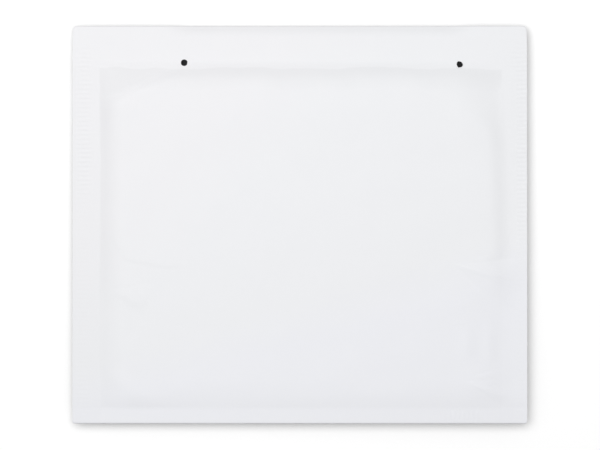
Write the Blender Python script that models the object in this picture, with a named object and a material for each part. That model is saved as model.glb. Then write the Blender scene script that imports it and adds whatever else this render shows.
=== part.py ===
# A bubble mailer of white kraft paper, empty and unsealed.
# It lies flat with its address side up and its flap folded under.
# The origin is on the table below its middle: +X across its width, +Y towards the flap's fold, +Z up.
from math import cos, exp, hypot, pi, sin, sqrt

import bmesh
import bpy
from mathutils import Matrix, Vector

MM = 0.001

# Paper: the outside of the mailer, and its wall, which is drawn thicker than real 0.1 mm kraft
WIDTH = 200 * MM
HEIGHT = 175 * MM
CORNER_RADIUS = 1.4 * MM
PAPER = 0.35 * MM
CLEARANCE = 0.3 * MM

# Seams, where the two panels are crimped together
LEFT_SEAM = 11 * MM
RIGHT_SEAM = 7 * MM
BOTTOM_SEAM = 8.3 * MM
SEAM_THICKNESS = 1.0 * MM
SEAM_HEIGHT = 5.3 * MM
RIB_PITCH = 2.0 * MM
RIB_GROOVE = 1.2 * MM
RIB_DEPTH = 0.3 * MM
RIB_MARGIN = 1.0 * MM
GROOVE_OVERRUN = 0.1

# Mouth and flap, measured from the fold at the top edge
MOUTH_SETBACK = 8 * MM
BAND_STEP = 0.02 * MM
FLAP_LENGTH = 45 * MM
FLAP_CORNER = 6 * MM
FLAP_LIFT_RUN = 8 * MM
FRONT_LIFT_RUN = 30 * MM
FRONT_LIFT_PAST = 12 * MM

# The fold at the top edge: the paper sags over it to a sharp crease, and the flap falls from there
FOLD_RUN = 5.5 * MM
FOLD_DROP = 1.5 * MM
FOLD_SWEEP = 1.9
CREASE_RADIUS = 0.5 * MM
FLAP_FALL = 16 * MM

# Sealing strip inside the flap: hot-melt adhesive under a silicone paper liner
STRIP_THICKNESS = 0.2 * MM
ADHESIVE_WIDTH = 15 * MM
ADHESIVE_END_GAP = 4 * MM
LINER_WIDTH = 20 * MM
LINER_END_GAP = 1 * MM
LINER_SETBACK = 2.5 * MM

# Bubble film: one web folded at the bottom, bubbles against the paper and its smooth face inside
FILM = 0.3 * MM
BUBBLE_HEIGHT = 2.3 * MM
BUBBLE_PITCH = 13 * MM
BUBBLE_SHOULDER = 2.1 * MM
POCKET = 0.5 * MM
POCKET_EDGE = 7 * MM
POCKET_ROWS = 30

# Where the padding ends, and how far each slope takes to reach the full height
PAD_TOP_SETBACK = 15.5 * MM
PAD_LEAN = 11 * MM
PAD_LEAN_START = 82.5 * MM
PAD_WAIST_DROP = 123.5 * MM
PAD_WAIST_SPAN = 13 * MM
PAD_WAIST_DEPTH = 2 * MM
PAD_CUT_WIDTH = 36 * MM
PAD_CUT_HEIGHT = 16 * MM
SIDE_SLOPE = 10.5 * MM
BOTTOM_SLOPE = 11 * MM
TOP_SLOPE = 12.5 * MM
CUT_SLOPE = 8 * MM
LINING_INSET = 0.4
LINING_CLEARANCE = 0.45 * MM
TRIM_MERGE = 0.3 * MM

# Holes punched through both panels at the padding's upper edge, the left one by its cut corner.
# The flap below them is whole.
HOLE_DIAMETER = 3.0 * MM
HOLE_SIDES = 20
LEFT_HOLE_PAST_CUT = 2.1 * MM
LEFT_HOLE_DROP = 16.2 * MM
RIGHT_HOLE_INSET = 29.6 * MM
RIGHT_HOLE_DROP = 17.0 * MM

LEFT, RIGHT = -WIDTH / 2, WIDTH / 2
BOTTOM, TOP = -HEIGHT / 2, HEIGHT / 2
MOUTH = TOP - MOUTH_SETBACK
FLAP_EDGE = TOP - FLAP_LENGTH
CREASE_LEVEL = SEAM_HEIGHT - FOLD_DROP - CREASE_RADIUS
PAD_LEFT = LEFT + LEFT_SEAM
PAD_RIGHT = RIGHT - RIGHT_SEAM
PAD_BOTTOM = BOTTOM + BOTTOM_SEAM
PAD_TOP = TOP - PAD_TOP_SETBACK
LEAN_FROM = TOP - PAD_LEAN_START
WAIST = TOP - PAD_WAIST_DROP
CUT_FROM = PAD_TOP - PAD_CUT_HEIGHT

# Levels of the layers above the table
ADHESIVE_BASE = PAPER + CLEARANCE
LINER_BASE = ADHESIVE_BASE + STRIP_THICKNESS + CLEARANCE
BACK_OVER_FLAP = LINER_BASE + STRIP_THICKNESS + CLEARANCE
PILLOW = 2 * (PAPER + LINING_CLEARANCE + BUBBLE_HEIGHT + FILM) + POCKET

# The padding's foot as straight edges, anticlockwise, each with its own slope
PAD_EDGES = (
    ((PAD_LEFT, PAD_BOTTOM), (PAD_RIGHT, PAD_BOTTOM), BOTTOM_SLOPE),
    ((PAD_RIGHT, PAD_BOTTOM), (PAD_RIGHT, LEAN_FROM), SIDE_SLOPE),
    ((PAD_RIGHT, LEAN_FROM), (PAD_RIGHT - PAD_LEAN, PAD_TOP), SIDE_SLOPE),
    ((PAD_RIGHT - PAD_LEAN, PAD_TOP), (PAD_LEFT + PAD_CUT_WIDTH, PAD_TOP), TOP_SLOPE),
    ((PAD_LEFT + PAD_CUT_WIDTH, PAD_TOP), (PAD_LEFT, CUT_FROM), CUT_SLOPE),
    ((PAD_LEFT, CUT_FROM), (PAD_LEFT, PAD_BOTTOM), SIDE_SLOPE),
)

# Folds pushed up in the address panel by its right edge, each rising from a point towards the seam
# and ending at it: inset and drop of the point and of the end, upper run, lower run and height
WRINKLES = (
    (31.5 * MM, 105.5 * MM, 7.5 * MM, 108.5 * MM, 8 * MM, 3.5 * MM, 1.8 * MM),
    (28 * MM, 155.5 * MM, 6.5 * MM, 160.5 * MM, 7 * MM, 4.5 * MM, 1.8 * MM),
)
WRINKLE_END = 0.8

# How closely the sheet is divided: steps down each slope, columns and rows between them
SLOPE_STEPS = (0, 0.1, 0.25, 0.45, 0.7, 1)
WRINKLE_STEPS = (13 * MM, 18 * MM, 24 * MM)
MIDDLE_COLUMNS = 6
BODY_ROWS = 24
LIFT_ROWS = 5
CORNER_STEPS = 4
FOLD_STEPS = 6
CREASE_STEPS = 4
FALL_STEPS = 6
FLAT_ANGLE = 0.0003
SHARP_ANGLE = 0.6


def spread(start, end, count):
    return [start + (end - start) * i / count for i in range(count + 1)]


def clamp(value):
    return min(1.0, max(0.0, value))


def smooth(value):
    value = clamp(value)
    return value * value * (3 - 2 * value)


def inward(edge, x, y):
    """How far a point lies inside one edge of the padding."""
    (ax, ay), (bx, by), _ = edge
    length = hypot(bx - ax, by - ay)
    return ((y - ay) * (bx - ax) - (x - ax) * (by - ay)) / length


def shoulder(share):
    """Rises softly from its foot, steepest at a third of the way, with a long shoulder."""
    share = clamp(share)
    return share * share * (6 - 8 * share + 3 * share * share)


def creased(share):
    """Rises steeply straight from a crease at its foot."""
    return 1 - (1 - clamp(share)) ** 2


def waist(y):
    """How far the right edge of the padding is drawn in beside the folds pushed up there."""
    return PAD_WAIST_DEPTH * exp(-(((y - WAIST) / PAD_WAIST_SPAN) ** 2))


def fullness(x, y):
    """0 outside the padding, 1 where it has its full height: creased along the bottom edge only."""
    bottom, right = PAD_EDGES[:2]
    full = creased(inward(bottom, x, y) / BOTTOM_SLOPE)
    full *= shoulder((inward(right, x, y) - waist(y)) / SIDE_SLOPE)
    for edge in PAD_EDGES[2:]:
        full *= shoulder(inward(edge, x, y) / edge[2])
    return full


def over_flap(y):
    """0 over the open back, 1 where the folded flap lies underneath."""
    return smooth((y - FLAP_EDGE + FLAP_LIFT_RUN) / (FLAP_LIFT_RUN - CLEARANCE))


def over_flap_in_front(y):
    """The address panel feels the flap below only as a long, slow rise."""
    return smooth((y - FLAP_EDGE - FRONT_LIFT_PAST) / FRONT_LIFT_RUN + 1)


def wrinkles(x, y):
    height = 0.0
    for inset, drop, end_inset, end_drop, upper_run, lower_run, rise in WRINKLES:
        start = Vector((RIGHT - inset, TOP - drop))
        along = Vector((RIGHT - end_inset, TOP - end_drop)) - start
        offset = Vector((x, y)) - start
        grown = clamp(offset.dot(along) / along.length_squared)
        across = along.cross(offset) / along.length
        run = upper_run if across > 0 else lower_run
        if grown > 0:
            ending = 1 - smooth((grown - WRINKLE_END) / (1 - WRINKLE_END))
            height += rise * grown * ending * clamp(1 - abs(across) / (run * grown))
    return height


def smooth_face(x, y):
    """The address panel as the padding alone would hold it up."""
    crest = PILLOW + over_flap_in_front(y) * BACK_OVER_FLAP / 2
    return SEAM_HEIGHT + (crest - SEAM_HEIGHT) * fullness(x, y)


def address_face(x, y):
    """Outer face of the address panel."""
    return smooth_face(x, y) + wrinkles(x, y)


def back_face(x, y):
    """Outer face of the back panel: its belly lies on the table, or on the folded flap."""
    seam = SEAM_HEIGHT - SEAM_THICKNESS
    return seam + (over_flap(y) * BACK_OVER_FLAP - seam) * fullness(x, y)


def middle_face(x, y):
    return (smooth_face(x, y) + back_face(x, y)) / 2


def half_room(x, y):
    """From the middle of the mailer to the lining's outermost point."""
    return (smooth_face(x, y) - back_face(x, y)) / 2 - PAPER - LINING_CLEARANCE


def foot_left(y):
    return PAD_LEFT + PAD_CUT_WIDTH * clamp((y - CUT_FROM) / PAD_CUT_HEIGHT)


def foot_right(y):
    return PAD_RIGHT - PAD_LEAN * clamp((y - LEAN_FROM) / (PAD_TOP - LEAN_FROM)) - waist(y)


def left_run(y):
    """How far from its foot the left slope reaches its full height, also along the cut corner."""
    cut_run = CUT_SLOPE * hypot(PAD_CUT_WIDTH, PAD_CUT_HEIGHT) / PAD_CUT_HEIGHT
    cut_shoulder = PAD_LEFT + (y - CUT_FROM) * PAD_CUT_WIDTH / PAD_CUT_HEIGHT + cut_run
    return max(SIDE_SLOPE, cut_shoulder - foot_left(y))


def padding_columns(y):
    """The x of each column of points over the padding, which follow its leaning edges."""
    left = [foot_left(y) + step * left_run(y) for step in SLOPE_STEPS]
    right = [foot_right(y) - step * SIDE_SLOPE for step in SLOPE_STEPS]
    right += [foot_right(y) - step for step in WRINKLE_STEPS]
    first, last = left[-1], right[-1]
    return left + spread(first, last, MIDDLE_COLUMNS)[1:-1] + right[::-1]


def columns(y):
    """Every column: those over the padding, and those that round the flap's corners."""
    turns = spread(0, pi / 2, CORNER_STEPS)
    corner = [FLAP_CORNER * (1 - cos(turn)) for turn in turns]
    return [LEFT + step for step in corner] + padding_columns(y) + [RIGHT - step for step in corner[::-1]]


def rows_over_padding():
    """The y of each row of points over the padding, closest on its slopes and folds."""
    rows = [PAD_BOTTOM + step * BOTTOM_SLOPE for step in SLOPE_STEPS]
    rows += spread(PAD_BOTTOM + BOTTOM_SLOPE, FLAP_EDGE - FLAP_LIFT_RUN, BODY_ROWS)[1:]
    rows += spread(FLAP_EDGE - FLAP_LIFT_RUN, FLAP_EDGE, LIFT_ROWS)[1:]
    rows += spread(FLAP_EDGE, CUT_FROM, LIFT_ROWS)[1:]
    rows += spread(CUT_FROM, PAD_TOP - TOP_SLOPE, LIFT_ROWS)[1:]
    rows += [PAD_TOP - step * TOP_SLOPE for step in SLOPE_STEPS[-2::-1]]
    return rows


def new_object(name, bm, material):
    mesh = bpy.data.meshes.new(name)
    bmesh.ops.recalc_face_normals(bm, faces=bm.faces[:])
    bmesh.ops.triangulate(bm, faces=bm.faces[:])
    bmesh.ops.dissolve_limit(bm, angle_limit=FLAT_ANGLE, verts=bm.verts[:], edges=bm.edges[:])
    bm.to_mesh(mesh)
    bm.free()
    mesh.shade_smooth()
    mesh.set_sharp_from_angle(angle=SHARP_ANGLE)
    obj = bpy.data.objects.new(name, mesh)
    bpy.context.scene.collection.objects.link(obj)
    if material:
        mesh.materials.append(material)
    return obj


def loft(rings):
    """A closed solid through rings of points, with a flat cap at each end."""
    bm = bmesh.new()
    loops = [[bm.verts.new(point) for point in ring] for ring in rings]
    for near, far in zip(loops, loops[1:]):
        for i, vert in enumerate(near):
            bm.faces.new((vert, near[i - 1], far[i - 1], far[i]))
    bm.faces.new(loops[0])
    bm.faces.new(loops[-1])
    return bm


def outline(grid):
    """The points round the edge of a grid, in order."""
    sides = [row[-1] for row in grid[1:-1]], [row[0] for row in grid[-2:0:-1]]
    return grid[0] + sides[0] + grid[-1][::-1] + sides[1]


def layer(rows, columns_at, floor, ceiling):
    """A closed solid between two faces over the same grid of points."""
    bm = bmesh.new()
    faces = [
        [[bm.verts.new((x, y, height(x, y))) for x in columns_at(y)] for y in rows]
        for height in (floor, ceiling)
    ]
    for face in faces:
        for near, far in zip(face, face[1:]):
            for i in range(len(near) - 1):
                bm.faces.new((near[i], near[i + 1], far[i + 1], far[i]))
    low, high = map(outline, faces)
    for i, vert in enumerate(low):
        bm.faces.new((low[i - 1], vert, high[i], high[i - 1]))
    return bm


def material(name, color, roughness, transmission=0.0):
    made = bpy.data.materials.new(name)
    made.use_nodes = True
    shader = made.node_tree.nodes["Principled BSDF"]
    shader.inputs["Base Color"].default_value = (*color, 1)
    shader.inputs["Roughness"].default_value = roughness
    shader.inputs["Metallic"].default_value = 0
    shader.inputs["Transmission Weight"].default_value = transmission
    made.diffuse_color = (*color, 1)
    return made


def cut(obj, cutter):
    """Takes the cutter out of the object with a Boolean, and keeps the cutter as a guide."""
    cutter.hide_render = True
    cutter.display_type = "WIRE"
    boolean = obj.modifiers.new(cutter.name, "BOOLEAN")
    boolean.operation = "DIFFERENCE"
    boolean.object = cutter


def hole_cutter():
    bm = bmesh.new()
    places = (
        (PAD_LEFT + PAD_CUT_WIDTH + LEFT_HOLE_PAST_CUT, TOP - LEFT_HOLE_DROP),
        (RIGHT - RIGHT_HOLE_INSET, TOP - RIGHT_HOLE_DROP),
    )
    for x, y in places:
        bmesh.ops.create_cone(
            bm,
            cap_ends=True,
            segments=HOLE_SIDES,
            radius1=HOLE_DIAMETER / 2,
            radius2=HOLE_DIAMETER / 2,
            depth=2 * PILLOW,
            matrix=Matrix.Translation((x, y, PAPER + CLEARANCE + PILLOW)),
        )
    return new_object("punched_holes", bm, None)


def rounded(x, radius):
    """How far the sheet's edge draws back at x, so that its corners are round."""
    past = max(0.0, abs(x) - (RIGHT - radius))
    return radius - sqrt(max(0.0, radius**2 - past**2))


def fold_path(top, depth):
    """The fold from the band to the end of the flap's fall, at a depth in the paper."""
    crease = top - CREASE_RADIUS
    half = CREASE_RADIUS - depth
    path = []
    for share in spread(0, 1, FOLD_STEPS)[:-1]:
        y = crease - (FOLD_RUN - CREASE_RADIUS) * (1 - share)
        path.append((y, SEAM_HEIGHT - FOLD_DROP * share**FOLD_SWEEP - depth))
    for turn in spread(pi / 2, -pi / 2, CREASE_STEPS):
        path.append((crease + half * cos(turn), CREASE_LEVEL + half * sin(turn)))
    for share in spread(0, 1, FALL_STEPS)[1:]:
        underside = (CREASE_LEVEL - CREASE_RADIUS) * (1 - smooth(share))
        path.append((crease - FLAP_FALL * share, underside + depth))
    return path


def envelope_section(column):
    """The sheet in one column: back panel, bottom edge, address panel, fold and flap."""
    x_flap = columns(BOTTOM)[column]
    rows = [BOTTOM + rounded(x_flap, CORNER_RADIUS)] + rows_over_padding()
    points = []
    for y in [MOUTH] + rows[::-1]:
        x = columns(y)[column]
        points.append((x, y, back_face(x, y)))
    for y in rows + [MOUTH]:
        x = columns(y)[column]
        points.append((x, y, address_face(x, y)))
    x = columns(TOP)[column]
    top = TOP - rounded(x, CORNER_RADIUS)
    flap_edge = FLAP_EDGE + rounded(x_flap, FLAP_CORNER)

    def fold(depth):
        path = fold_path(top, depth)
        return [(at, y, z) for at, (y, z) in zip(spread(x, x_flap, len(path) - 1), path)]

    points += fold(0)
    points += [(x_flap, flap_edge, 0), (x_flap, flap_edge, PAPER)]
    points += fold(PAPER)[::-1]
    points.append((x, MOUTH, SEAM_HEIGHT - PAPER))
    return points


def envelope_hollow():
    """The space between the two panels, open at the mouth, just under the face of the band above it."""
    rows = rows_over_padding() + [MOUTH + CLEARANCE]
    bm = layer(
        rows,
        padding_columns,
        lambda x, y: back_face(x, y) + PAPER,
        lambda x, y: address_face(x, y) - PAPER - BAND_STEP,
    )
    return new_object("envelope_hollow", bm, None)


def crimp_grooves():
    """V grooves across both side seams, which leave the crimp's ribs."""
    bm = bmesh.new()
    count = int((MOUTH - BOTTOM - 2 * RIB_MARGIN) / RIB_PITCH)
    for outer, inner in ((LEFT, PAD_LEFT - RIB_MARGIN), (RIGHT, PAD_RIGHT + RIB_MARGIN)):
        past = outer + (outer - inner) * GROOVE_OVERRUN
        for i in range(count):
            y = BOTTOM + RIB_MARGIN + (i + 0.5) * RIB_PITCH
            near = [
                bm.verts.new((past, y - RIB_GROOVE, SEAM_HEIGHT + RIB_DEPTH)),
                bm.verts.new((past, y + RIB_GROOVE, SEAM_HEIGHT + RIB_DEPTH)),
                bm.verts.new((past, y, SEAM_HEIGHT - RIB_DEPTH)),
            ]
            tip = bm.verts.new((inner, y, SEAM_HEIGHT + RIB_DEPTH))
            bm.faces.new(near)
            bm.faces.new((near[0], near[1], tip))
            bm.faces.new((near[1], near[2], tip))
            bm.faces.new((near[2], near[0], tip))
    return new_object("crimp_grooves", bm, None)


def make_envelope():
    paper = material("white kraft paper", (0.86, 0.87, 0.89), 0.62)
    sections = [envelope_section(i) for i in range(len(columns(BOTTOM)))]
    envelope = new_object("paper_envelope", loft(sections), paper)
    cut(envelope, envelope_hollow())
    cut(envelope, crimp_grooves())
    cut(envelope, hole_cutter())
    return envelope


def bubble_sheet():
    """One wall of bubbles, flat: cells side by side with raised middles, cut to the padding's outline."""
    bm = bmesh.new()
    row_pitch = BUBBLE_PITCH * sqrt(3) / 2
    rows = int((PAD_TOP - PAD_BOTTOM) / row_pitch) + 2
    cells = int((PAD_RIGHT - PAD_LEFT) / BUBBLE_PITCH) + 2
    for row in range(rows):
        for cell in range(cells):
            x = PAD_LEFT + (cell + 0.5 * (row % 2)) * BUBBLE_PITCH
            y = PAD_BOTTOM + row * row_pitch
            bmesh.ops.create_circle(
                bm,
                cap_ends=True,
                segments=6,
                radius=BUBBLE_PITCH / sqrt(3),
                matrix=Matrix.Translation((x, y, 0)),
            )
    bmesh.ops.remove_doubles(bm, verts=bm.verts[:], dist=0.01 * MM)
    bmesh.ops.recalc_face_normals(bm, faces=bm.faces[:])
    if bm.faces[:][0].normal.z < 0:
        bmesh.ops.reverse_faces(bm, faces=bm.faces[:])
    bmesh.ops.inset_individual(
        bm, faces=bm.faces[:], thickness=BUBBLE_SHOULDER, depth=BUBBLE_HEIGHT, use_even_offset=True
    )
    for (ax, ay), (bx, by), slope in PAD_EDGES:
        outward = Vector((by - ay, ax - bx, 0)).normalized()
        bmesh.ops.bisect_plane(
            bm,
            geom=bm.verts[:] + bm.edges[:] + bm.faces[:],
            plane_co=Vector((ax, ay, 0)) - outward * slope * LINING_INSET,
            plane_no=outward,
            clear_outer=True,
        )
    bmesh.ops.remove_doubles(bm, verts=bm.verts[:], dist=TRIM_MERGE)
    return bm


def make_lining():
    """Two walls of bubbles joined round the edge, with the pocket for the contents between them."""
    film = material("polyethylene bubble film", (0.86, 0.89, 0.91), 0.28, 0.6)
    bm = bubble_sheet()
    upper = bm.verts[:]
    rim = [edge for edge in bm.edges if edge.is_boundary]
    copies = bmesh.ops.duplicate(bm, geom=upper + bm.edges[:] + bm.faces[:])["vert_map"]
    for edge in rim:
        a, b = edge.verts
        bm.faces.new((a, b, copies[b], copies[a]))
    film_face = POCKET / 2 + FILM
    for vert in upper:
        x, y, bubble = vert.co
        reach = min(film_face + bubble, half_room(x, y))
        vert.co.z = middle_face(x, y) + reach
        copies[vert].co.z = middle_face(x, y) - reach
    lining = new_object("bubble_lining", bm, film)
    pocket_left, pocket_right = PAD_LEFT + POCKET_EDGE, PAD_RIGHT - PAD_LEAN - POCKET_EDGE
    pocket = layer(
        spread(PAD_BOTTOM + POCKET_EDGE, PAD_TOP + POCKET_EDGE, POCKET_ROWS),
        lambda y: spread(pocket_left, pocket_right, MIDDLE_COLUMNS),
        lambda x, y: middle_face(x, y) - POCKET / 2,
        lambda x, y: middle_face(x, y) + POCKET / 2,
    )
    cut(lining, new_object("lining_pocket", pocket, None))
    return lining


def strip(name, width, end_gap, base, made_of):
    """A flat strip along the flap, on its inner face."""
    middle = FLAP_EDGE + LINER_SETBACK + LINER_WIDTH / 2
    size = (WIDTH - 2 * end_gap, width, STRIP_THICKNESS)
    bm = bmesh.new()
    bmesh.ops.create_cube(bm, size=1, matrix=Matrix.Diagonal((*size, 1)))
    obj = new_object(name, bm, made_of)
    obj.location = (0, middle, base + STRIP_THICKNESS / 2)
    return obj


def main():
    for obj in list(bpy.data.objects):
        bpy.data.objects.remove(obj)
    adhesive = material("hot-melt adhesive", (0.83, 0.76, 0.55), 0.25)
    silicone = material("silicone release paper", (0.80, 0.86, 0.90), 0.35)
    make_envelope()
    make_lining()
    strip("adhesive_strip", ADHESIVE_WIDTH, ADHESIVE_END_GAP, ADHESIVE_BASE, adhesive)
    strip("release_liner", LINER_WIDTH, LINER_END_GAP, LINER_BASE, silicone)


main()
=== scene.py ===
from math import hypot, pi

import bmesh
import bpy
import numpy as np
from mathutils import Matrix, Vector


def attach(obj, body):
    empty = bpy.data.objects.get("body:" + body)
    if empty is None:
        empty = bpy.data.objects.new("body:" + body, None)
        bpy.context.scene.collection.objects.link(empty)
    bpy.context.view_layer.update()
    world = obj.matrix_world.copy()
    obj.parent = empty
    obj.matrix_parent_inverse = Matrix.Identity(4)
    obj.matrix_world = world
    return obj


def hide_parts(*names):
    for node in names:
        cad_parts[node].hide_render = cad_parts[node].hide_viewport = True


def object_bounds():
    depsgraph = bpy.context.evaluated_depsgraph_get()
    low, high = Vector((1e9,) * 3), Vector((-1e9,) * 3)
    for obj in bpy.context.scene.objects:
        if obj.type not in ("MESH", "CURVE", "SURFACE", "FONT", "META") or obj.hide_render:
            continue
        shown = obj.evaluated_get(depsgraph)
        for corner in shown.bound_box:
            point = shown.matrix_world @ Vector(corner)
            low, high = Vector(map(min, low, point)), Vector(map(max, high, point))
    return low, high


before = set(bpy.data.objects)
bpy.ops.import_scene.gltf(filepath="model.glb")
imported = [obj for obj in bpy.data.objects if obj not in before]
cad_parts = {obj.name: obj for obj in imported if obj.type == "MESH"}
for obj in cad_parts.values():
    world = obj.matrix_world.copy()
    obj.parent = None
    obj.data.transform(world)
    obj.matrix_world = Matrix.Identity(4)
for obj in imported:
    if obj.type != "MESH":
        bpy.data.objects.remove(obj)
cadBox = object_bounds()
mm = 0.001
tiny = 1e-9  # keeps a division from meeting zero
noiseMiddle = 0.5  # what a noise texture comes to on the whole


class Value:
    # A socket of a node. Sums, differences and products of values add their Math nodes.
    def __init__(self, shader, socket):
        self.shader = shader
        self.socket = socket

    def math(self, operation, first, second):
        return self.shader.node("ShaderNodeMath", {"operation": operation}, {0: first, 1: second})

    def __add__(self, other):
        return self.math("ADD", self, other)

    def __radd__(self, other):
        return self.math("ADD", other, self)

    def __sub__(self, other):
        return self.math("SUBTRACT", self, other)

    def __rsub__(self, other):
        return self.math("SUBTRACT", other, self)

    def __mul__(self, other):
        return self.math("MULTIPLY", self, other)

    def __rmul__(self, other):
        return self.math("MULTIPLY", other, self)

    def smaller(self, other):
        return self.math("MINIMUM", self, other)

    def clamped(self):
        settings = {"operation": "ADD", "use_clamp": True}
        return self.shader.node("ShaderNodeMath", settings, {0: self, 1: 0})

    # Another output of the node that this value comes from
    def beside(self, output):
        return Value(self.shader, self.socket.node.outputs[output])


class Shader:
    # The nodes of a new material, or of a new world where kind is "worlds"
    def __init__(self, name, kind="materials"):
        self.owner = getattr(bpy.data, kind).new(name)
        self.owner.use_nodes = True
        self.tree = self.owner.node_tree
        self.tree.nodes.clear()

    # Adds any node. Its settings are set first, then its sockets, by name or number, get a value
    # or a link. It gives one output, and nothing for a node that has none.
    def node(self, kind, settings=None, inputs=None, output=0):
        made = self.tree.nodes.new(kind)
        for key, value in (settings or {}).items():
            setattr(made, key, value)
        for key, value in (inputs or {}).items():
            if isinstance(value, Value):
                self.tree.links.new(value.socket, made.inputs[key])
            else:
                made.inputs[key].default_value = value
        return Value(self, made.outputs[output]) if made.outputs else None

    def place(self):
        return self.node("ShaderNodeTexCoord", output="Object")

    def noise(self, scale, detail, roughness=0.5, vector=None):
        inputs = {"Scale": scale, "Detail": detail, "Roughness": roughness}
        inputs["Vector"] = vector or self.place()
        return self.node("ShaderNodeTexNoise", None, inputs)

    def stretched(self, scale):
        settings = {"operation": "MULTIPLY"}
        return self.node("ShaderNodeVectorMath", settings, {0: self.place(), 1: scale})

    # Between two fixed colours. A Mix node's colours are its inputs 6 and 7 and its output 2.
    def mixed(self, share, first, second):
        settings = {"data_type": "RGBA"}
        return self.node("ShaderNodeMix", settings, {0: share, 6: (*first, 1), 7: (*second, 1)}, 2)

    # One colour times another
    def times(self, first, second):
        settings = {"data_type": "RGBA", "blend_type": "MULTIPLY"}
        return self.node("ShaderNodeMix", settings, {0: 1, 6: first, 7: second}, 2)

    def bump(self, height, strength, distance):
        inputs = {"Height": height, "Strength": strength, "Distance": distance}
        return self.node("ShaderNodeBump", None, inputs)

    def surface(self, shader, kind="ShaderNodeOutputMaterial"):
        self.node(kind, None, {"Surface": shader})
        return self.owner


# The mailer's own measures. Its outline is the solids' own.
mailer = {
    "left": cadBox[0][0],
    "right": cadBox[1][0],
    "bottom": cadBox[0][1],
    "top": cadBox[1][1],
    "paper": 0.35 * mm,
    "seamHeight": 5.7 * mm,  # the seams' upper face above the table
    "seamLeanX": 0.25 * mm,
    "seamLeanY": -0.55 * mm,
    "seamThickness": 1.0 * mm,
    "padLeft": -88.2 * mm,
    "padRight": 94.8 * mm,
    "padBottom": -80.8 * mm,
    "padTop": 71.4 * mm,
    "padLean": 5.5 * mm,
    "leanFrom": 5 * mm,
    "cutWidth": 36 * mm,
    "cutHeight": 16 * mm,
    "pillow": 7.3 * mm,  # the padding's crest above the table
    "overFlap": 1.65 * mm,  # how far the flap lifts what lies on it
    "mouth": 79.5 * mm,
    "flapEdge": 42.5 * mm,
    "flapCorner": 6 * mm,
    "flapLiftRun": 8 * mm,
    "frontLiftRun": 30 * mm,
    "frontLiftPast": 12 * mm,
    "foldRun": 5.5 * mm,
    "foldDrop": 1.8 * mm,
    "foldLeast": 0.3,  # share of that drop at the fold's two ends
    "foldFrom": -61 * mm,
    "foldTo": 80 * mm,
    "foldSpread": 14 * mm,
    "foldSweep": 1.9,
    "creaseRadius": 0.35 * mm,
    "creaseInside": 0.8,  # share of that radius that the paper's inner face may take
    "flapFall": 16 * mm,
    "cornerRadius": 1.4 * mm,
    "lowCornerRadius": 0.8 * mm,
}

# How far each side of the padding takes to rise, and where it rises more gently or draws in
slopes = {
    "left": 12 * mm,
    "right": 12.6 * mm,
    "bottom": 13 * mm,
    "top": 13 * mm,
    "cut": 6.5 * mm,
    "softFrom": -12 * mm,  # the left and right side rise more gently below this height
    "softRun": 32 * mm,
    "softer": 0.9,
    "leanSoftFrom": 36 * mm,  # and the leaning right edge above this one
    "leanSoftRun": 24 * mm,
    "leanSofter": 1.1,
    "filmRise": 0.5,  # share of the rise that the stiffer film makes, over its own runs
    "filmTop": 9 * mm,
    "filmLeft": 8 * mm,
    "waistAt": -36 * mm,  # where the right side draws in, between the two pushed-up folds
    "waistSpan": 13 * mm,
    "waistDepth": 0.7 * mm,
    "bulge": 0.5,  # how much gentler the right side rises beside the upper fold
    "bulgeAt": -19 * mm,
    "bulgeSpan": 5.5 * mm,
}

# The crimp's ribs. Rims and widths run inwards from the mailer's edges, fades from those.
crimp = {
    "pitch": 2.0 * mm,
    "depth": 0.15 * mm,
    "leftRim": 2.4 * mm,
    "leftWidth": 9.6 * mm,
    "leftFade": 3.5 * mm,
    "rightRim": 0.1 * mm,
    "rightWidth": 8 * mm,
    "rimFade": 0.8 * mm,
    "sideFade": 1.5 * mm,
    "faint": 0.18,  # share of the depth that is left below leftFaint and rightFaint
    "leftFaint": 2 * mm,
    "rightFaint": -14 * mm,
    "fadeRun": 22 * mm,
    "uneven": 0.25,
    "unevenRun": 7 * mm,
    "unevenRatio": 2.3,
    "bottomFrom": 62 * mm,
    "bottomTo": 80 * mm,
    "bottomDepth": 0.1 * mm,
}

holes = {
    "radius": 1.5 * mm,
    "left": (-50.9 * mm, 71.3 * mm),
    "right": (70.4 * mm, 70.5 * mm),
    "reach": 4.5 * mm,  # how far round a hole the grid is drawn towards it
    "block": 1.7 * mm,  # half side of the cells left open for it
    "torn": 0.86,  # where the right hole's torn edge lies, as a share of the radius
    "tornLeast": 0.2,
    "ragged": 0.05,
    "fineRagged": 0.03,
}


# 0 to 1 with a soft start and a soft end
def smooth(t):
    t = np.clip(t, 0, 1)
    return t * t * (3 - 2 * t)


# Rises softly from its foot, steepest at a third of the way, with a long shoulder
def shoulder(t):
    t = np.clip(t, 0, 1)
    return t * t * (6 - 8 * t + 3 * t * t)


# Rises steeply straight from a crease at its foot
def creased(t):
    t = np.clip(t, 0, 1)
    return 1 - (1 - t) ** 2


# How far a place lies to the left of the line from a to b
def inward(a, b, x, y):
    (ax, ay), (bx, by) = a, b
    return ((y - ay) * (bx - ax) - (x - ax) * (by - ay)) / hypot(bx - ax, by - ay)


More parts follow.
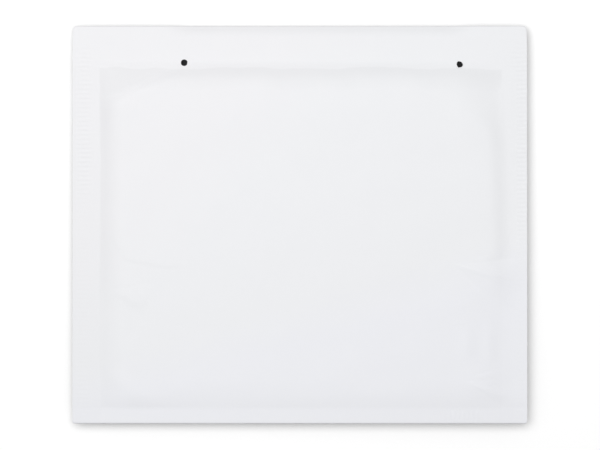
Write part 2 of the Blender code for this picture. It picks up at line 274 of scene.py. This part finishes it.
# How full the padding is: 0 from its outline outwards and 1 over its middle. The sides are taken
# against the clock, so that the padding lies to the left of each one.
def fullness(x, y):
    m, s = mailer, slopes
    lowLeft = (m["padLeft"], m["padBottom"])
    lowRight = (m["padRight"], m["padBottom"])
    lean = (m["padRight"], m["leanFrom"])
    topRight = (m["padRight"] - m["padLean"], m["padTop"])
    topLeft = (m["padLeft"], m["padTop"])
    cutTop = (m["padLeft"] + m["cutWidth"], m["padTop"])
    cutLow = (m["padLeft"], m["padTop"] - m["cutHeight"])
    soft = 1 + s["softer"] * smooth((s["softFrom"] - y) / s["softRun"])
    waist = s["waistDepth"] * np.exp(-(((y - s["waistAt"]) / s["waistSpan"]) ** 2))
    box = creased(inward(lowLeft, lowRight, x, y) / s["bottom"])
    bulge = 1 + s["bulge"] * np.exp(-(((y - s["bulgeAt"]) / s["bulgeSpan"]) ** 2))
    box = box * shoulder((inward(lowRight, lean, x, y) - waist) / s["right"] / soft / bulge)
    leanSoft = 1 + s["leanSofter"] * smooth((y - s["leanSoftFrom"]) / s["leanSoftRun"])
    box = box * shoulder(inward(lean, topRight, x, y) / s["right"] / leanSoft)
    film = box * creased(inward(topRight, topLeft, x, y) / s["filmTop"])
    film = film * creased(inward(topLeft, lowLeft, x, y) / s["filmLeft"] / soft)
    full = box * shoulder(inward(topRight, topLeft, x, y) / s["top"])
    full = full * shoulder(inward(topLeft, lowLeft, x, y) / s["left"] / soft)
    full = full * shoulder(inward(cutTop, cutLow, x, y) / s["cut"])
    return s["filmRise"] * film + (1 - s["filmRise"]) * full


# How much a place up the back panel is lifted by the flap below it, from 0 to 1
def overFlap(y):
    m = mailer
    return smooth((y - m["flapEdge"] + m["flapLiftRun"]) / m["flapLiftRun"])


# The address panel feels the flap below only as a long, slow rise
def overFlapInFront(y):
    m = mailer
    return smooth((y - m["flapEdge"] - m["frontLiftPast"]) / m["frontLiftRun"] + 1)


# Crimp ribs across the side seams and, faintly, across part of the bottom seam
def ribs(x, y):
    m, c = mailer, crimp
    fromLeft = x - m["left"]
    fromRight = m["right"] - x
    left = smooth((fromLeft - c["leftRim"]) / c["rimFade"])
    left = left * smooth((c["leftWidth"] - fromLeft) / c["leftFade"])
    right = smooth((fromRight - c["rightRim"]) / c["rimFade"])
    right = right * smooth((c["rightWidth"] - fromRight) / c["sideFade"])
    ends = smooth((y - m["bottom"] - c["sideFade"]) / c["sideFade"])
    ends = ends * smooth((m["mouth"] - y) / c["sideFade"])
    left = left * (c["faint"] + smooth((y - c["leftFaint"]) / c["fadeRun"]))
    right = right * (c["faint"] + smooth((y - c["rightFaint"]) / c["fadeRun"]))
    waver = np.sin(y / c["unevenRun"]) * np.sin(c["unevenRatio"] * y / c["unevenRun"] + 1)
    uneven = 1 - c["uneven"] + c["uneven"] * waver
    sides = (left * uneven + right * uneven) * ends * c["depth"] * np.cos(2 * pi * y / c["pitch"])
    under = smooth((m["padBottom"] - y) / c["sideFade"]) * smooth((y - m["bottom"]) / c["sideFade"])
    under = under * smooth((x - c["bottomFrom"]) / c["pitch"]) * smooth((c["bottomTo"] - x) / c["pitch"])
    return sides + under * c["bottomDepth"] * np.cos(2 * pi * x / c["pitch"])


# Folds pushed up in the address panel. A ridge grows from its start and fades out at its end:
# start, end, upper run, lower run and rise, in millimetres, and the share where it starts to fade.
# A rise below zero is a dent.
ridges = (
    ((67.5, -17.5), (99, -25.5), 12, 18, 1.9, 0.5),
    ((67.5, -17.5), (91, -24.5), 2.4, 3.2, 0.36, 0.6),
    ((71.5, -68), (97, -79), 6.5, 20, 1.0, 0.45),
    ((71.5, -68), (92, -77), 2, 4.5, 0.5, 0.6),
    ((71, -16.8), (86, -14.2), 1.8, 2.8, 0.22, 0.6),
    ((71.5, -68.5), (88, -64.5), 1.4, 3.5, 0.24, 0.6),
    ((73, -69), (88, -70), 1.4, 3, 0.2, 0.6),
    ((-85, -28.5), (-66.5, -36), 11, 5, 0.62, 0.75),
    ((65.3, -43.6), (73.5, -42.4), 1.0, 1.4, 0.14, 0.7),
    ((78, -81), (100.5, -80), 1.3, 1.6, -0.14, 0.9),
)

# Soft swellings in the same measures: middle, half width, half height, turn in degrees, and rise
swellings = (
    ((-74, -30), 3, 6.5, 10, 0.42),
    ((73.5, -52), 3.2, 6.5, 0, 0.3),
    ((83.5, -52.5), 2.8, 9, 0, 0.36),
    ((-79.5, -68.5), 8, 3.6, -42, 0.4),
    ((-74, -76), 12, 4.5, -8, 0.4),
    ((-75.5, 51.5), 4, 4.5, 0, 0.2),
    ((30, -75), 14, 3, 0, 0.1),
    ((82, -71.5), 9, 8, -15, 0.5),
)

# The upper left of the panel stands a little higher, down to a crease along this line. All of it
# is in millimetres.
shelf = {
    "line": ((-84, -5), (-76.6, -15.6), (-60.3, -18.7), (-45, -18.7)),
    "drop": 0.2,
    "edge": 2.2,
    "upperReach": 22,
    "leftReach": 4,
    "rightReach": 16,
}

# Faint waves all over the paper: wave lengths in millimetres along x and y, shift, and rise
waves = (
    (71, 103, 0.4, 0.08),
    (-53, 37, 2.1, 0.035),
    (33, -61, 4.0, 0.03),
    (-21, -26, 1.2, 0.018),
    (17, 90, 3.3, 0.014),
    (120, -19, 5.1, 0.018),
    (13, 16, 2.6, 0.006),
    (-15, 11, 0.9, 0.006),
)


def ridgeRise(x, y):
    total = 0 * x
    for (ax, ay), (bx, by), upper, lower, rise, fade in ridges:
        length = hypot(bx - ax, by - ay)
        ux, uy = (bx - ax) / length, (by - ay) / length
        dx, dy = x / mm - ax, y / mm - ay
        grown = np.clip((dx * ux + dy * uy) / length, 0, 1)
        across = dy * ux - dx * uy
        run = np.where(across > 0, upper, lower) * grown + tiny
        ending = 1 - smooth((grown - fade) / (1 - fade))
        total = total + rise * grown * ending * np.clip(1 - np.abs(across) / run, 0, 1)
    return total * mm


def swellRise(x, y):
    total = 0 * x
    for (cx, cy), rx, ry, turn, rise in swellings:
        angle = turn * pi / 180
        dx, dy = x / mm - cx, y / mm - cy
        u = (dx * np.cos(angle) + dy * np.sin(angle)) / rx
        v = (dy * np.cos(angle) - dx * np.sin(angle)) / ry
        total = total + rise * np.exp(-(u * u + v * v))
    return total * mm


def shelfRise(x, y):
    line = shelf["line"]
    edge = np.interp(x / mm, [at[0] for at in line], [at[1] for at in line])
    above = y / mm - edge
    step = smooth(above / shelf["edge"] + 0.5) * (1 - smooth(above / shelf["upperReach"]))
    left = smooth((x / mm - line[0][0]) / shelf["leftReach"])
    right = 1 - smooth((x / mm - line[2][0]) / shelf["rightReach"])
    return shelf["drop"] * step * left * right * mm


def waveRise(x, y):
    total = 0 * x
    for lengthX, lengthY, shift, rise in waves:
        total = total + rise * np.sin(2 * pi * (x / mm / lengthX + y / mm / lengthY) + shift)
    return total * mm


# The seams stand a little higher towards the lower right
def seamLevel(x, y):
    m = mailer
    return m["seamHeight"] + m["seamLeanX"] * x / m["right"] + m["seamLeanY"] * y / m["top"]


# The address panel, as the padding alone would hold it up
def plainFront(x, y, full):
    m = mailer
    crest = m["pillow"] + overFlapInFront(y) * m["overFlap"] / 2
    seam = seamLevel(x, y)
    return seam + (crest - seam) * full


def frontHeight(x, y):
    full = fullness(x, y)
    waved = (shelfRise(x, y) + waveRise(x, y)) * full + ribs(x, y)
    return plainFront(x, y, full) + waved + ridgeRise(x, y) + swellRise(x, y) * np.sqrt(full)


def backHeight(x, y):
    m = mailer
    seam = seamLevel(x, y) - m["seamThickness"]
    return seam + (overFlap(y) * m["overFlap"] - seam) * fullness(x, y) + ribs(x, y)


# How far the sheet's edge draws back at its round corners
def cornerSetback(x, corner="cornerRadius"):
    radius = mailer[corner]
    past = np.clip(np.abs(x) - (mailer["right"] - radius), 0, radius)
    return radius - np.sqrt(radius**2 - past**2)


# The flap's free edge, with its round corners
def flapBottom(x):
    m = mailer
    past = np.clip(np.abs(x) - (m["right"] - m["flapCorner"]), 0, m["flapCorner"])
    return m["flapEdge"] + m["flapCorner"] - np.sqrt(m["flapCorner"] ** 2 - past**2)


# How far the paper sags over the fold at the top edge, least at its two ends
def foldDrop(x):
    m = mailer
    sag = smooth((x - m["foldFrom"]) / m["foldSpread"]) * smooth((m["foldTo"] - x) / m["foldSpread"])
    return m["foldDrop"] * (m["foldLeast"] + (1 - m["foldLeast"]) * sag)


# Underside of the flap: it springs up to the crease at the top edge
def flapHeight(x, y):
    m = mailer
    rise = seamLevel(x, m["top"]) - foldDrop(x) - 2 * m["creaseRadius"]
    fromCrease = m["top"] - m["creaseRadius"] - y
    return rise * (1 - smooth(fromCrease / m["flapFall"]))


# Rows near the lower and the upper edge bend round the corners with them
def lowPull(y):
    m = mailer
    return 1 - smooth((y - m["bottom"]) / (2 * m["cornerRadius"]))


def topPull(y):
    m = mailer
    return smooth(1 - (m["top"] - y) / (2 * m["cornerRadius"]))


# The points of one row across the sheet, on its outer or its inner face. The sheet runs from the
# mouth down the back panel, round the bottom edge, up the address panel, over the top edge and
# down the flap. The value is y on the panels, the angle at an edge, or the share of the flap.
def rowPoints(kind, value, x, inside):
    m = mailer
    thick = m["paper"] if inside else 0
    crease = m["top"] - m["creaseRadius"] - cornerSetback(x)
    if kind == "back":
        y = value + lowPull(value) * cornerSetback(x, "lowCornerRadius")
        return x, y, backHeight(x, y) + thick
    if kind == "front":
        y = value + lowPull(value) * cornerSetback(x, "lowCornerRadius")
        y = y - topPull(value) * cornerSetback(x)
        sag = np.clip((y - crease + m["foldRun"]) / m["foldRun"], 0, 1) ** m["foldSweep"]
        height = frontHeight(x, y)
        if inside:  # the coarser inner face stays below the outer one's wrinkles
            height = np.minimum(plainFront(x, y, fullness(x, y)), height)
        return x, y, height - thick - sag * foldDrop(x)
    if kind == "bottomFold":
        y = m["bottom"] + m["seamThickness"] / 2 + 0 * x
        low, high = backHeight(x, y), frontHeight(x, y)
        half = (high - low) / 2 - thick
        y = y + cornerSetback(x, "lowCornerRadius")
        return x, y - half * np.cos(value), (low + high) / 2 + half * np.sin(value)
    if kind == "topFold":
        radius = m["creaseRadius"]
        middle = seamLevel(x, m["top"]) - foldDrop(x) - radius
        depth = min(thick, m["creaseInside"] * radius)
        y = crease + (radius - depth) * np.cos(value) + 0 * x
        return x, y, middle + (radius - depth) * np.sin(value) + 0 * x
    y = crease + (flapBottom(x) - crease) * value
    return x, y, flapHeight(x, y) + thick


# Evenly divided steps of about that pitch from start to end, without the end
def steps(start, end, pitch):
    count = max(1, round(abs(end - start) / pitch))
    return [start + (end - start) * i / count for i in range(count)]


# Places from start on, at each span's own pitch up to where the span ends
def spread(start, spans):
    places = []
    for end, pitch in spans:
        places += steps(start, end, pitch)
        start = end
    return places


# How finely the sheet is divided. The rows' values are the pitch over the back, over the front
# and by the holes, then the steps down the flap and round an edge. Spans hold an end and a pitch.
paperMesh = {
    "ribRows": (0.5 * mm, 0.5 * mm, 0.5 * mm, 24, 6),
    "middleRows": (1.6 * mm, 1.0 * mm, 0.7 * mm, 24, 6),
    "insideRows": (3 * mm, 3 * mm, 1.0 * mm, 24, 3),
    "fineBelow": 8 * mm,
    "fineAbove": 4.5 * mm,
    "frontSpans": (
        (-80 * mm, 1.0 * mm),
        (-64 * mm, 0.5 * mm),
        (-29 * mm, 1.0 * mm),
        (-12 * mm, 0.5 * mm),
    ),
    "frontPitch": 1.0 * mm,
    "cornerSteps": 4,
    "leftPitch": 1.5 * mm,
    "rightPitch": 1.2 * mm,
    "middleSpans": (
        (-76 * mm, 0.8 * mm),
        (-56 * mm, 1.2 * mm),
        (-46 * mm, 0.7 * mm),
        (50 * mm, 1.8 * mm),
        (65 * mm, 1.0 * mm),
    ),
    "foldsPitch": 0.6 * mm,
    "insideSpans": (
        (-56 * mm, 3 * mm),
        (-46 * mm, 1.0 * mm),
        (65 * mm, 3 * mm),
        (76 * mm, 1.0 * mm),
        (mailer["right"], 3 * mm),
    ),
    "ribFoot": 1.0 * mm,  # how far the ribbed patches stop short of the padding
    "topEdge": 1.5 * mm,  # the paper's length over the top edge
    "flapLength": 44 * mm,
    "sharpAngle": 0.8,  # in radians: an edge that is bent further is shaded as a crease
}


def sheetRows(backPitch, frontPitch, finePitch, flapSteps, foldSteps):
    m, p = mailer, paperMesh
    low = m["bottom"] + m["seamThickness"] / 2
    fineFrom, fineTo = m["padTop"] - p["fineBelow"], m["padTop"] + p["fineAbove"]
    rows = [("back", y) for y in steps(m["mouth"], fineTo, backPitch)]
    rows += [("back", y) for y in steps(fineTo, fineFrom, finePitch)]
    rows += [("back", y) for y in steps(fineFrom, low, backPitch)]
    rows += [("bottomFold", -pi / 2 + pi * i / foldSteps) for i in range(foldSteps)]
    spans = [(end, min(pitch, frontPitch)) for end, pitch in p["frontSpans"]]
    spans += [(fineFrom, min(p["frontPitch"], frontPitch)), (fineTo, finePitch)]
    spans += [(m["top"] - m["foldRun"], frontPitch), (m["top"] - m["creaseRadius"], finePitch)]
    rows += [("front", y) for y in spread(low, spans)]
    rows += [("topFold", pi / 2 - pi * i / foldSteps) for i in range(foldSteps)]
    rows += [("flap", i / flapSteps) for i in range(flapSteps + 1)]
    return rows


# A hole's radius at a bearing: the right hole is a little ragged, and cut short at its upper right
def holeRadius(side, bearing):
    h = holes
    if side == "left":
        return h["radius"]
    ragged = 1 + h["ragged"] * np.sin(3 * bearing + 1) + h["fineRagged"] * np.sin(7 * bearing)
    torn = h["torn"] / max(np.cos(bearing - pi / 4), h["tornLeast"])
    return h["radius"] * min(ragged, torn)


# Where a point of the grid goes so that the block's outline becomes the hole's. The block is its
# left, right, lower and upper reach from the hole's middle. A point inside the block stays.
def drawnToHole(side, block, u, v):
    far = np.hypot(u, v)
    if far < tiny:
        return None
    c, s = u / far, v / far
    left, right, lower, upper = block
    wide = right if c > 0 else left
    tall = upper if s > 0 else lower
    edge = min(wide / max(abs(c), tiny), tall / max(abs(s), tiny))
    if far < edge - 100 * tiny:
        return None
    share = np.clip(1 - (far - edge) / (holes["reach"] - edge), 0, 1)
    moved = far + (holeRadius(side, np.arctan2(v, u)) - edge) * share
    return c * moved, s * moved


# Opens one hole in one panel of the grid: gives its first and last row and column, and moves the
# points round it to its outline
def openHole(points, rows, xs, ys, side, kind, inside):
    cx, cy = holes[side]
    panel = [j for j, row in enumerate(rows) if row[0] == kind and abs(ys[j] - cy) <= holes["reach"]]
    ownRows = [j for j in panel if abs(ys[j] - cy) <= holes["block"]]
    ownColumns = [i for i, x in enumerate(xs) if abs(x - cx) <= holes["block"]]
    j0, j1, i0, i1 = ownRows[0], ownRows[-1], ownColumns[0], ownColumns[-1]
    lower, upper = sorted((ys[j0] - cy, ys[j1] - cy))
    block = (cx - xs[i0], xs[i1] - cx, -lower, upper)
    for j in panel:
        for i, x in enumerate(xs):
            if abs(x - cx) > holes["reach"]:
                continue
            moved = drawnToHole(side, block, x - cx, ys[j] - cy)
            if moved:
                px, py = cx + moved[0], cy + moved[1]
                _, _, pz = rowPoints(kind, py, np.array([px]), inside)
                points[j][0][i], points[j][1][i], points[j][2][i] = px, py, pz[0]
    return j0, j1, i0, i1


# Builds a grid of the sheet with the holes open in it. It gives the points by row, and the rings
# of points round the holes.
def gridPatch(bm, rows, xs, inside):
    xs = np.array(xs)
    points = []
    for kind, value in rows:
        x, y, z = rowPoints(kind, value, xs, inside)
        points.append((x.copy(), y, z))
    ys = [float(y[len(xs) // 2]) for _, y, _ in points]
    blocks = {}
    for side in ("left", "right"):
        if xs[0] + holes["reach"] < holes[side][0] < xs[-1] - holes["reach"]:
            for kind in ("back", "front"):
                blocks[side, kind] = openHole(points, rows, xs, ys, side, kind, inside)
    verts = []
    for j, (x, y, z) in enumerate(points):
        line = []
        for i in range(len(xs)):
            hidden = any(j0 < j < j1 and i0 < i < i1 for j0, j1, i0, i1 in blocks.values())
            line.append(None if hidden else bm.verts.new((x[i], y[i], z[i])))
        verts.append(line)
    for j in range(len(rows) - 1):
        for i in range(len(xs) - 1):
            if any(j0 <= j < j1 and i0 <= i < i1 for j0, j1, i0, i1 in blocks.values()):
                continue
            quad = [verts[j][i], verts[j][i + 1], verts[j + 1][i + 1], verts[j + 1][i]]
            face = bm.faces.new(quad[::-1] if inside else quad)
            face.material_index = int(inside)
    rings = {}
    for name, (j0, j1, i0, i1) in blocks.items():
        ring = [(j0, i) for i in range(i0, i1)] + [(j, i1) for j in range(j0, j1)]
        ring += [(j1, i) for i in range(i1, i0, -1)] + [(j, i0) for j in range(j1, j0, -1)]
        rings[name] = [verts[j][i] for j, i in ring]
    return verts, rings


# Joins two lines of points, however many each has, with triangles
def zipLines(bm, first, second):
    i = j = 0
    while i < len(first) - 1 or j < len(second) - 1:
        ahead = (i + 1) / (len(first) - 1) if i < len(first) - 1 else 2
        behind = (j + 1) / (len(second) - 1) if j < len(second) - 1 else 2
        if ahead <= behind:
            bm.faces.new((first[i], first[i + 1], second[j]))
            i += 1
        else:
            bm.faces.new((second[j + 1], second[j], first[i]))
            j += 1


# Joins two columns whose points lie at known places along the sheet
def zipPlaced(bm, first, second, firstAt, secondAt):
    i = j = 0
    while i < len(first) - 1 or j < len(second) - 1:
        ahead = firstAt[i + 1] if i < len(first) - 1 else 1e9
        behind = secondAt[j + 1] if j < len(second) - 1 else 1e9
        if ahead <= behind:
            bm.faces.new((first[i], first[i + 1], second[j]))
            i += 1
        else:
            bm.faces.new((second[j + 1], second[j], first[i]))
            j += 1


# Where a row lies along the sheet, in metres from the mouth
def along(kind, value):
    m, p = mailer, paperMesh
    low = m["bottom"] + m["seamThickness"] / 2
    back = m["mouth"] - low
    edge = pi * m["seamThickness"] / 2
    front = m["top"] - m["creaseRadius"] - low
    if kind == "back":
        return m["mouth"] - value
    if kind == "bottomFold":
        return back + edge * (value / pi + 0.5)
    if kind == "front":
        return back + edge + value - low
    if kind == "topFold":
        return back + edge + front + p["topEdge"] * (0.5 - value / pi)
    return back + edge + front + p["topEdge"] + p["flapLength"] * value


# The whole sheet: fine patches over the ribbed seams and a middle one between them on the outer
# face, and one coarse patch on the inner face, joined at all edges and round the holes
def makePaper():
    m, p = mailer, paperMesh
    bm = bmesh.new()
    seamLeft, seamRight = m["padLeft"] - p["ribFoot"], m["padRight"] + p["ribFoot"]
    turn, cuts = m["cornerRadius"], p["cornerSteps"]
    corner = [turn * (1 - np.cos(pi * i / cuts / 2)) for i in range(cuts)]
    leftXs = [m["left"] + x for x in corner]
    leftXs += steps(m["left"] + turn, seamLeft, p["leftPitch"]) + [seamLeft]
    rightXs = steps(seamRight, m["right"] - turn, p["rightPitch"]) + [m["right"] - turn]
    rightXs += [m["right"] - x for x in corner[::-1]]
    middleXs = spread(seamLeft, p["middleSpans"] + ((seamRight, p["foldsPitch"]),))[1:]
    insideXs = spread(m["left"], p["insideSpans"]) + [m["right"]]
    ribRows = sheetRows(*p["ribRows"])
    middleRows = sheetRows(*p["middleRows"])
    insideRows = sheetRows(*p["insideRows"])
    left, _ = gridPatch(bm, ribRows, leftXs, False)
    right, _ = gridPatch(bm, ribRows, rightXs, False)
    middle, rings = gridPatch(bm, middleRows, middleXs, False)
    inside, insideRings = gridPatch(bm, insideRows, insideXs, True)
    ribAt = [along(*row) for row in ribRows]
    middleAt = [along(*row) for row in middleRows]
    insideAt = [along(*row) for row in insideRows]
    zipPlaced(bm, [r[-1] for r in left], [r[0] for r in middle], ribAt, middleAt)
    zipPlaced(bm, [r[-1] for r in middle], [r[0] for r in right], middleAt, ribAt)
    zipPlaced(bm, [r[0] for r in inside], [r[0] for r in left], insideAt, ribAt)
    zipPlaced(bm, [r[-1] for r in right], [r[-1] for r in inside], ribAt, insideAt)
    for end in (0, -1):
        outer = left[end] + middle[end] + right[end]
        zipPlaced(bm, outer, inside[end], leftXs + middleXs + rightXs, insideXs)
    for name, ring in rings.items():
        zipLines(bm, ring + ring[:1], insideRings[name] + insideRings[name][:1])
    bmesh.ops.recalc_face_normals(bm, faces=bm.faces[:])
    return bm


def newObject(name, bm, material):
    mesh = bpy.data.meshes.new(name)
    bm.to_mesh(mesh)
    bm.free()
    mesh.shade_smooth()
    mesh.set_sharp_from_angle(angle=paperMesh["sharpAngle"])
    mesh.materials.append(material)
    made = bpy.data.objects.new(name, mesh)
    bpy.context.scene.collection.objects.link(made)
    return made


# White kraft paper: faint clouds, a fine fibre grain and a little tooth. A painted tint of the light
# makes it a shade cooler towards the lower right corner and a shade warmer and lighter towards the upper
# left one.
kraft = {
    "light": (0.858, 0.864, 0.881),
    "dark": (0.838, 0.846, 0.866),
    "cloudScale": 90,
    "cloudDetail": 4,
    "fibreScale": 900,
    "fibreDetail": 3,
    "fibreStretch": (1, 0.35, 1),
    "fibreShare": 0.3,
    "grain": 0.6,
    "roughness": 0.62,
    "specular": 0.25,
    "tooth": 0.05,
    "toothDepth": 0.05 * mm,
    "paintedCool": (0.999, 0.999, 1.016),
    "coolLean": 0.3,
    "coolFrom": -33 * mm,
    "coolRun": 20 * mm,
    "paintedWarm": (1.009, 1.000, 1.000),
    "warmFrom": 35 * mm,
    "warmRun": 55 * mm,
}

# Painted shade in the paper's colour: darker over the seams, at the padding's foot, down its left and
# upper slopes, and in the creases at the foot of those, whose line wanders a little. Low on the right
# seam it turns to painted light.
paintedShades = {
    "seam": 0.008,
    "side": 0.009,  # painted shade on top of it over the side seams, painted light low on the right one
    # where the right seam turns from painted light lower down to painted shade higher up
    "rightFrom": 5 * mm,
    "rightRun": 35 * mm,
    "rightLift": 0.7,
    "rightGain": 1.8,
    "foot": 0.013,
    "footWidth": 6 * mm,
    "slope": 0.048,
    "slopeWidth": 2.5 * mm,
    "slopeFade": 7.5 * mm,
    "cutFade": 2.5 * mm,
    "lowShare": 0.4,  # how much of the slopes' and creases' painted shade is lost lower down
    "lowFrom": -14 * mm,
    "lowRun": 26 * mm,
    "crease": 0.018,
    "creaseWidth": 0.8 * mm,
    "creaseBelow": 2.4 * mm,  # how far the upper crease lies below the padding's upper side
    "wander": 5 * mm,
    "wanderLeft": 0.5,
    "wanderScale": 45,
    "wanderDetail": 2,
}


# How much painted shade or painted light the paper's colour takes, 1 where none is painted
def paintedPaperShade(shader, x, y):
    m, k = mailer, paintedShades
    wander = (shader.noise(k["wanderScale"], k["wanderDetail"]) - noiseMiddle) * k["wander"]
    fromLeft = x - m["padLeft"] + wander * k["wanderLeft"]
    fromTop = m["padTop"] - k["creaseBelow"] - y + wander
    fromRight = m["padRight"] - m["padLean"] - x
    fromBottom = y - m["padBottom"]
    upper = fromLeft.smaller(fromTop)
    sharp = 1 / k["creaseWidth"]
    onPad = (upper.smaller(fromRight).smaller(fromBottom) * sharp).clamped()
    seam = 1 - (upper.smaller(fromBottom) * sharp).clamped()
    high = ((y - k["rightFrom"]) * (1 / k["rightRun"])).clamped()  # grows up the right seam
    leftSide = 1 - (fromLeft * sharp).clamped()
    rightSide = (1 - (fromRight * sharp).clamped()) * (high * k["rightGain"] - k["rightLift"])
    side = (leftSide + rightSide) * (fromTop * sharp).clamped()
    dx, dy = m["cutWidth"], m["cutHeight"]
    pastCut = (x - m["padLeft"]) * dy - (y - m["padTop"] + dy) * dx
    pastCut = pastCut * (1 / hypot(dx, dy) / k["cutFade"])
    low = 1 - ((k["lowFrom"] - y) * (1 / k["lowRun"])).clamped() * k["lowShare"]
    body = ((upper - k["slopeWidth"]) * (1 / k["slopeFade"])).smaller(pastCut).clamped()
    slope = onPad * (1 - body) * low
    crease = onPad * (1 - (upper * sharp).clamped()) * low
    foot = (1 - (fromBottom * (1 / k["footWidth"])).clamped()) * (fromBottom * sharp).clamped()
    darker = seam * k["seam"] + side * k["side"] + foot * k["foot"]
    return 1 - darker - slope * k["slope"] - crease * k["crease"]


def paperFinish():
    k = kraft
    shader = Shader("white kraft paper")
    clouds = shader.noise(k["cloudScale"], k["cloudDetail"], k["grain"])
    stretched = shader.stretched(k["fibreStretch"])
    fibres = shader.noise(k["fibreScale"], k["fibreDetail"], k["grain"], stretched)
    share = clouds * (1 - k["fibreShare"]) + fibres * k["fibreShare"]
    color = shader.mixed(share, k["dark"], k["light"])
    x = shader.node("ShaderNodeSeparateXYZ", None, {0: shader.place()}, "X")
    y = x.beside("Y")
    # painted light: a cooler tint towards the lower right, a warmer and lighter one towards the upper
    # left
    paintedCool = ((x * k["coolLean"] + k["coolFrom"] - y) * (1 / k["coolRun"])).clamped()
    color = shader.times(color, shader.mixed(paintedCool, (1, 1, 1), k["paintedCool"]))
    paintedWarm = ((y - x - k["warmFrom"]) * (1 / k["warmRun"])).clamped()
    color = shader.times(color, shader.mixed(paintedWarm, (1, 1, 1), k["paintedWarm"]))
    # painted shade and painted light, multiplied into the paper's colour
    color = shader.times(color, paintedPaperShade(shader, x, y))
    normal = shader.bump(fibres, k["tooth"], k["toothDepth"])
    inputs = {"Base Color": color, "Roughness": k["roughness"], "Normal": normal}
    inputs["Specular IOR Level"] = k["specular"]
    return shader.surface(shader.node("ShaderNodeBsdfPrincipled", None, inputs))


# Looks of the pieces that show no more than a faint cloudiness
film = {
    "light": (0.88, 0.91, 0.93),
    "dark": (0.80, 0.84, 0.87),
    "roughness": 0.22,
    "clear": 0.6,
    "scale": 120,
}

glue = {
    "light": (0.86, 0.79, 0.58),
    "dark": (0.78, 0.70, 0.48),
    "roughness": 0.25,
    "clear": 0.2,
    "scale": 200,
}

liner = {
    "light": (0.82, 0.88, 0.92),
    "dark": (0.77, 0.84, 0.89),
    "roughness": 0.38,
    "clear": 0,
    "scale": 150,
}

# The paper's inner face is painted near black as painted shade, so that the holes through the sheet look
# black
paintedShadeInnerFace = {
    "light": (0.06, 0.06, 0.065),
    "dark": (0.045, 0.045, 0.05),
    "roughness": 0.7,
    "clear": 0,
    "scale": 300,
}

cloudy = {"detail": 3, "bump": 0.1, "depth": 0.1 * mm}


def plainFinish(name, look):
    shader = Shader(name)
    cloud = shader.noise(look["scale"], cloudy["detail"])
    color = shader.mixed(cloud, look["dark"], look["light"])
    normal = shader.bump(cloud, cloudy["bump"], cloudy["depth"])
    inputs = {"Base Color": color, "Roughness": look["roughness"], "Normal": normal}
    inputs["Transmission Weight"] = look["clear"]
    return shader.surface(shader.node("ShaderNodeBsdfPrincipled", None, inputs))


# A node of the solids that keeps its shape and gets a finish
def keepNode(name, material):
    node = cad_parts[name]
    node.data.materials.clear()
    node.data.materials.append(material)


paper = newObject("kraft_paper", makePaper(), paperFinish())
# the inner face gets its painted shade
paper.data.materials.append(plainFinish("inner face painted as shade", paintedShadeInnerFace))
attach(paper, "root")
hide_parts("paper_envelope")
print("paper:", len(paper.data.polygons), "faces")

keepNode("bubble_lining", plainFinish("bubble film", film))
keepNode("adhesive_strip", plainFinish("hot-melt adhesive", glue))
keepNode("release_liner", plainFinish("silicone release paper", liner))
print("lining and sealing strip dressed")

# The table is white to the camera where nothing shades it, and plain pale to the light
table = {
    "size": 6,
    "pale": (0.3, 0.3, 0.3),
    "shown": (1.09, 1.09, 1.09),
}

# One soft lamp above the upper left, and an even sky
lamp = {
    "place": (-0.125, 0.304, 1.0),
    "width": 1.26,
    "power": 9.42,
    "tilt": (0.29, -0.237),
    "sky": 0.394,
}

# The camera hangs straight above and takes in frameWidth at its level
camera = {
    "lens": 120,
    "sensor": 36,
    "frameWidth": 264.3 * mm,
    "aim": (0.09 * mm, -0.15 * mm),
    "level": 4.8 * mm,
}


# 1 for what the camera sees directly, in a reflection or through clear film
def seenBy(shader):
    seen = shader.node("ShaderNodeLightPath", output="Is Camera Ray")
    return seen + seen.beside("Is Glossy Ray") + seen.beside("Is Transmission Ray")


def makeTable():
    t = table
    shader = Shader("pale table")
    color = shader.mixed(seenBy(shader), t["pale"], t["shown"])
    bpy.ops.mesh.primitive_plane_add(size=t["size"])
    made = bpy.context.object
    made.name = "table"
    matt = shader.node("ShaderNodeBsdfDiffuse", None, {"Color": color})
    made.data.materials.append(shader.surface(matt))


def makeLight():
    l = lamp
    data = bpy.data.lights.new("softbox", "AREA")
    data.shape = "DISK"
    data.size = l["width"]
    data.energy = l["power"]
    made = bpy.data.objects.new("softbox", data)
    bpy.context.scene.collection.objects.link(made)
    made.location = l["place"]
    made.rotation_euler = (*l["tilt"], 0)
    made.visible_camera = False
    shader = Shader("studio", "worlds")
    # inputs 2 and 3 are a Mix node's plain numbers
    strength = shader.node("ShaderNodeMix", None, {0: seenBy(shader), 2: l["sky"], 3: 1})
    sky = shader.node("ShaderNodeBackground", None, {"Color": (1, 1, 1, 1), "Strength": strength})
    bpy.context.scene.world = shader.surface(sky, "ShaderNodeOutputWorld")


def makeCamera():
    c = camera
    data = bpy.data.cameras.new("camera")
    data.lens = c["lens"]
    data.sensor_width = c["sensor"]
    made = bpy.data.objects.new("camera", data)
    bpy.context.scene.collection.objects.link(made)
    made.location = (*c["aim"], c["level"] + c["frameWidth"] * c["lens"] / c["sensor"])
    bpy.context.scene.camera = made


makeTable()
makeLight()
makeCamera()
bpy.context.scene.view_settings.view_transform = "Standard"
print("table, light and camera set")
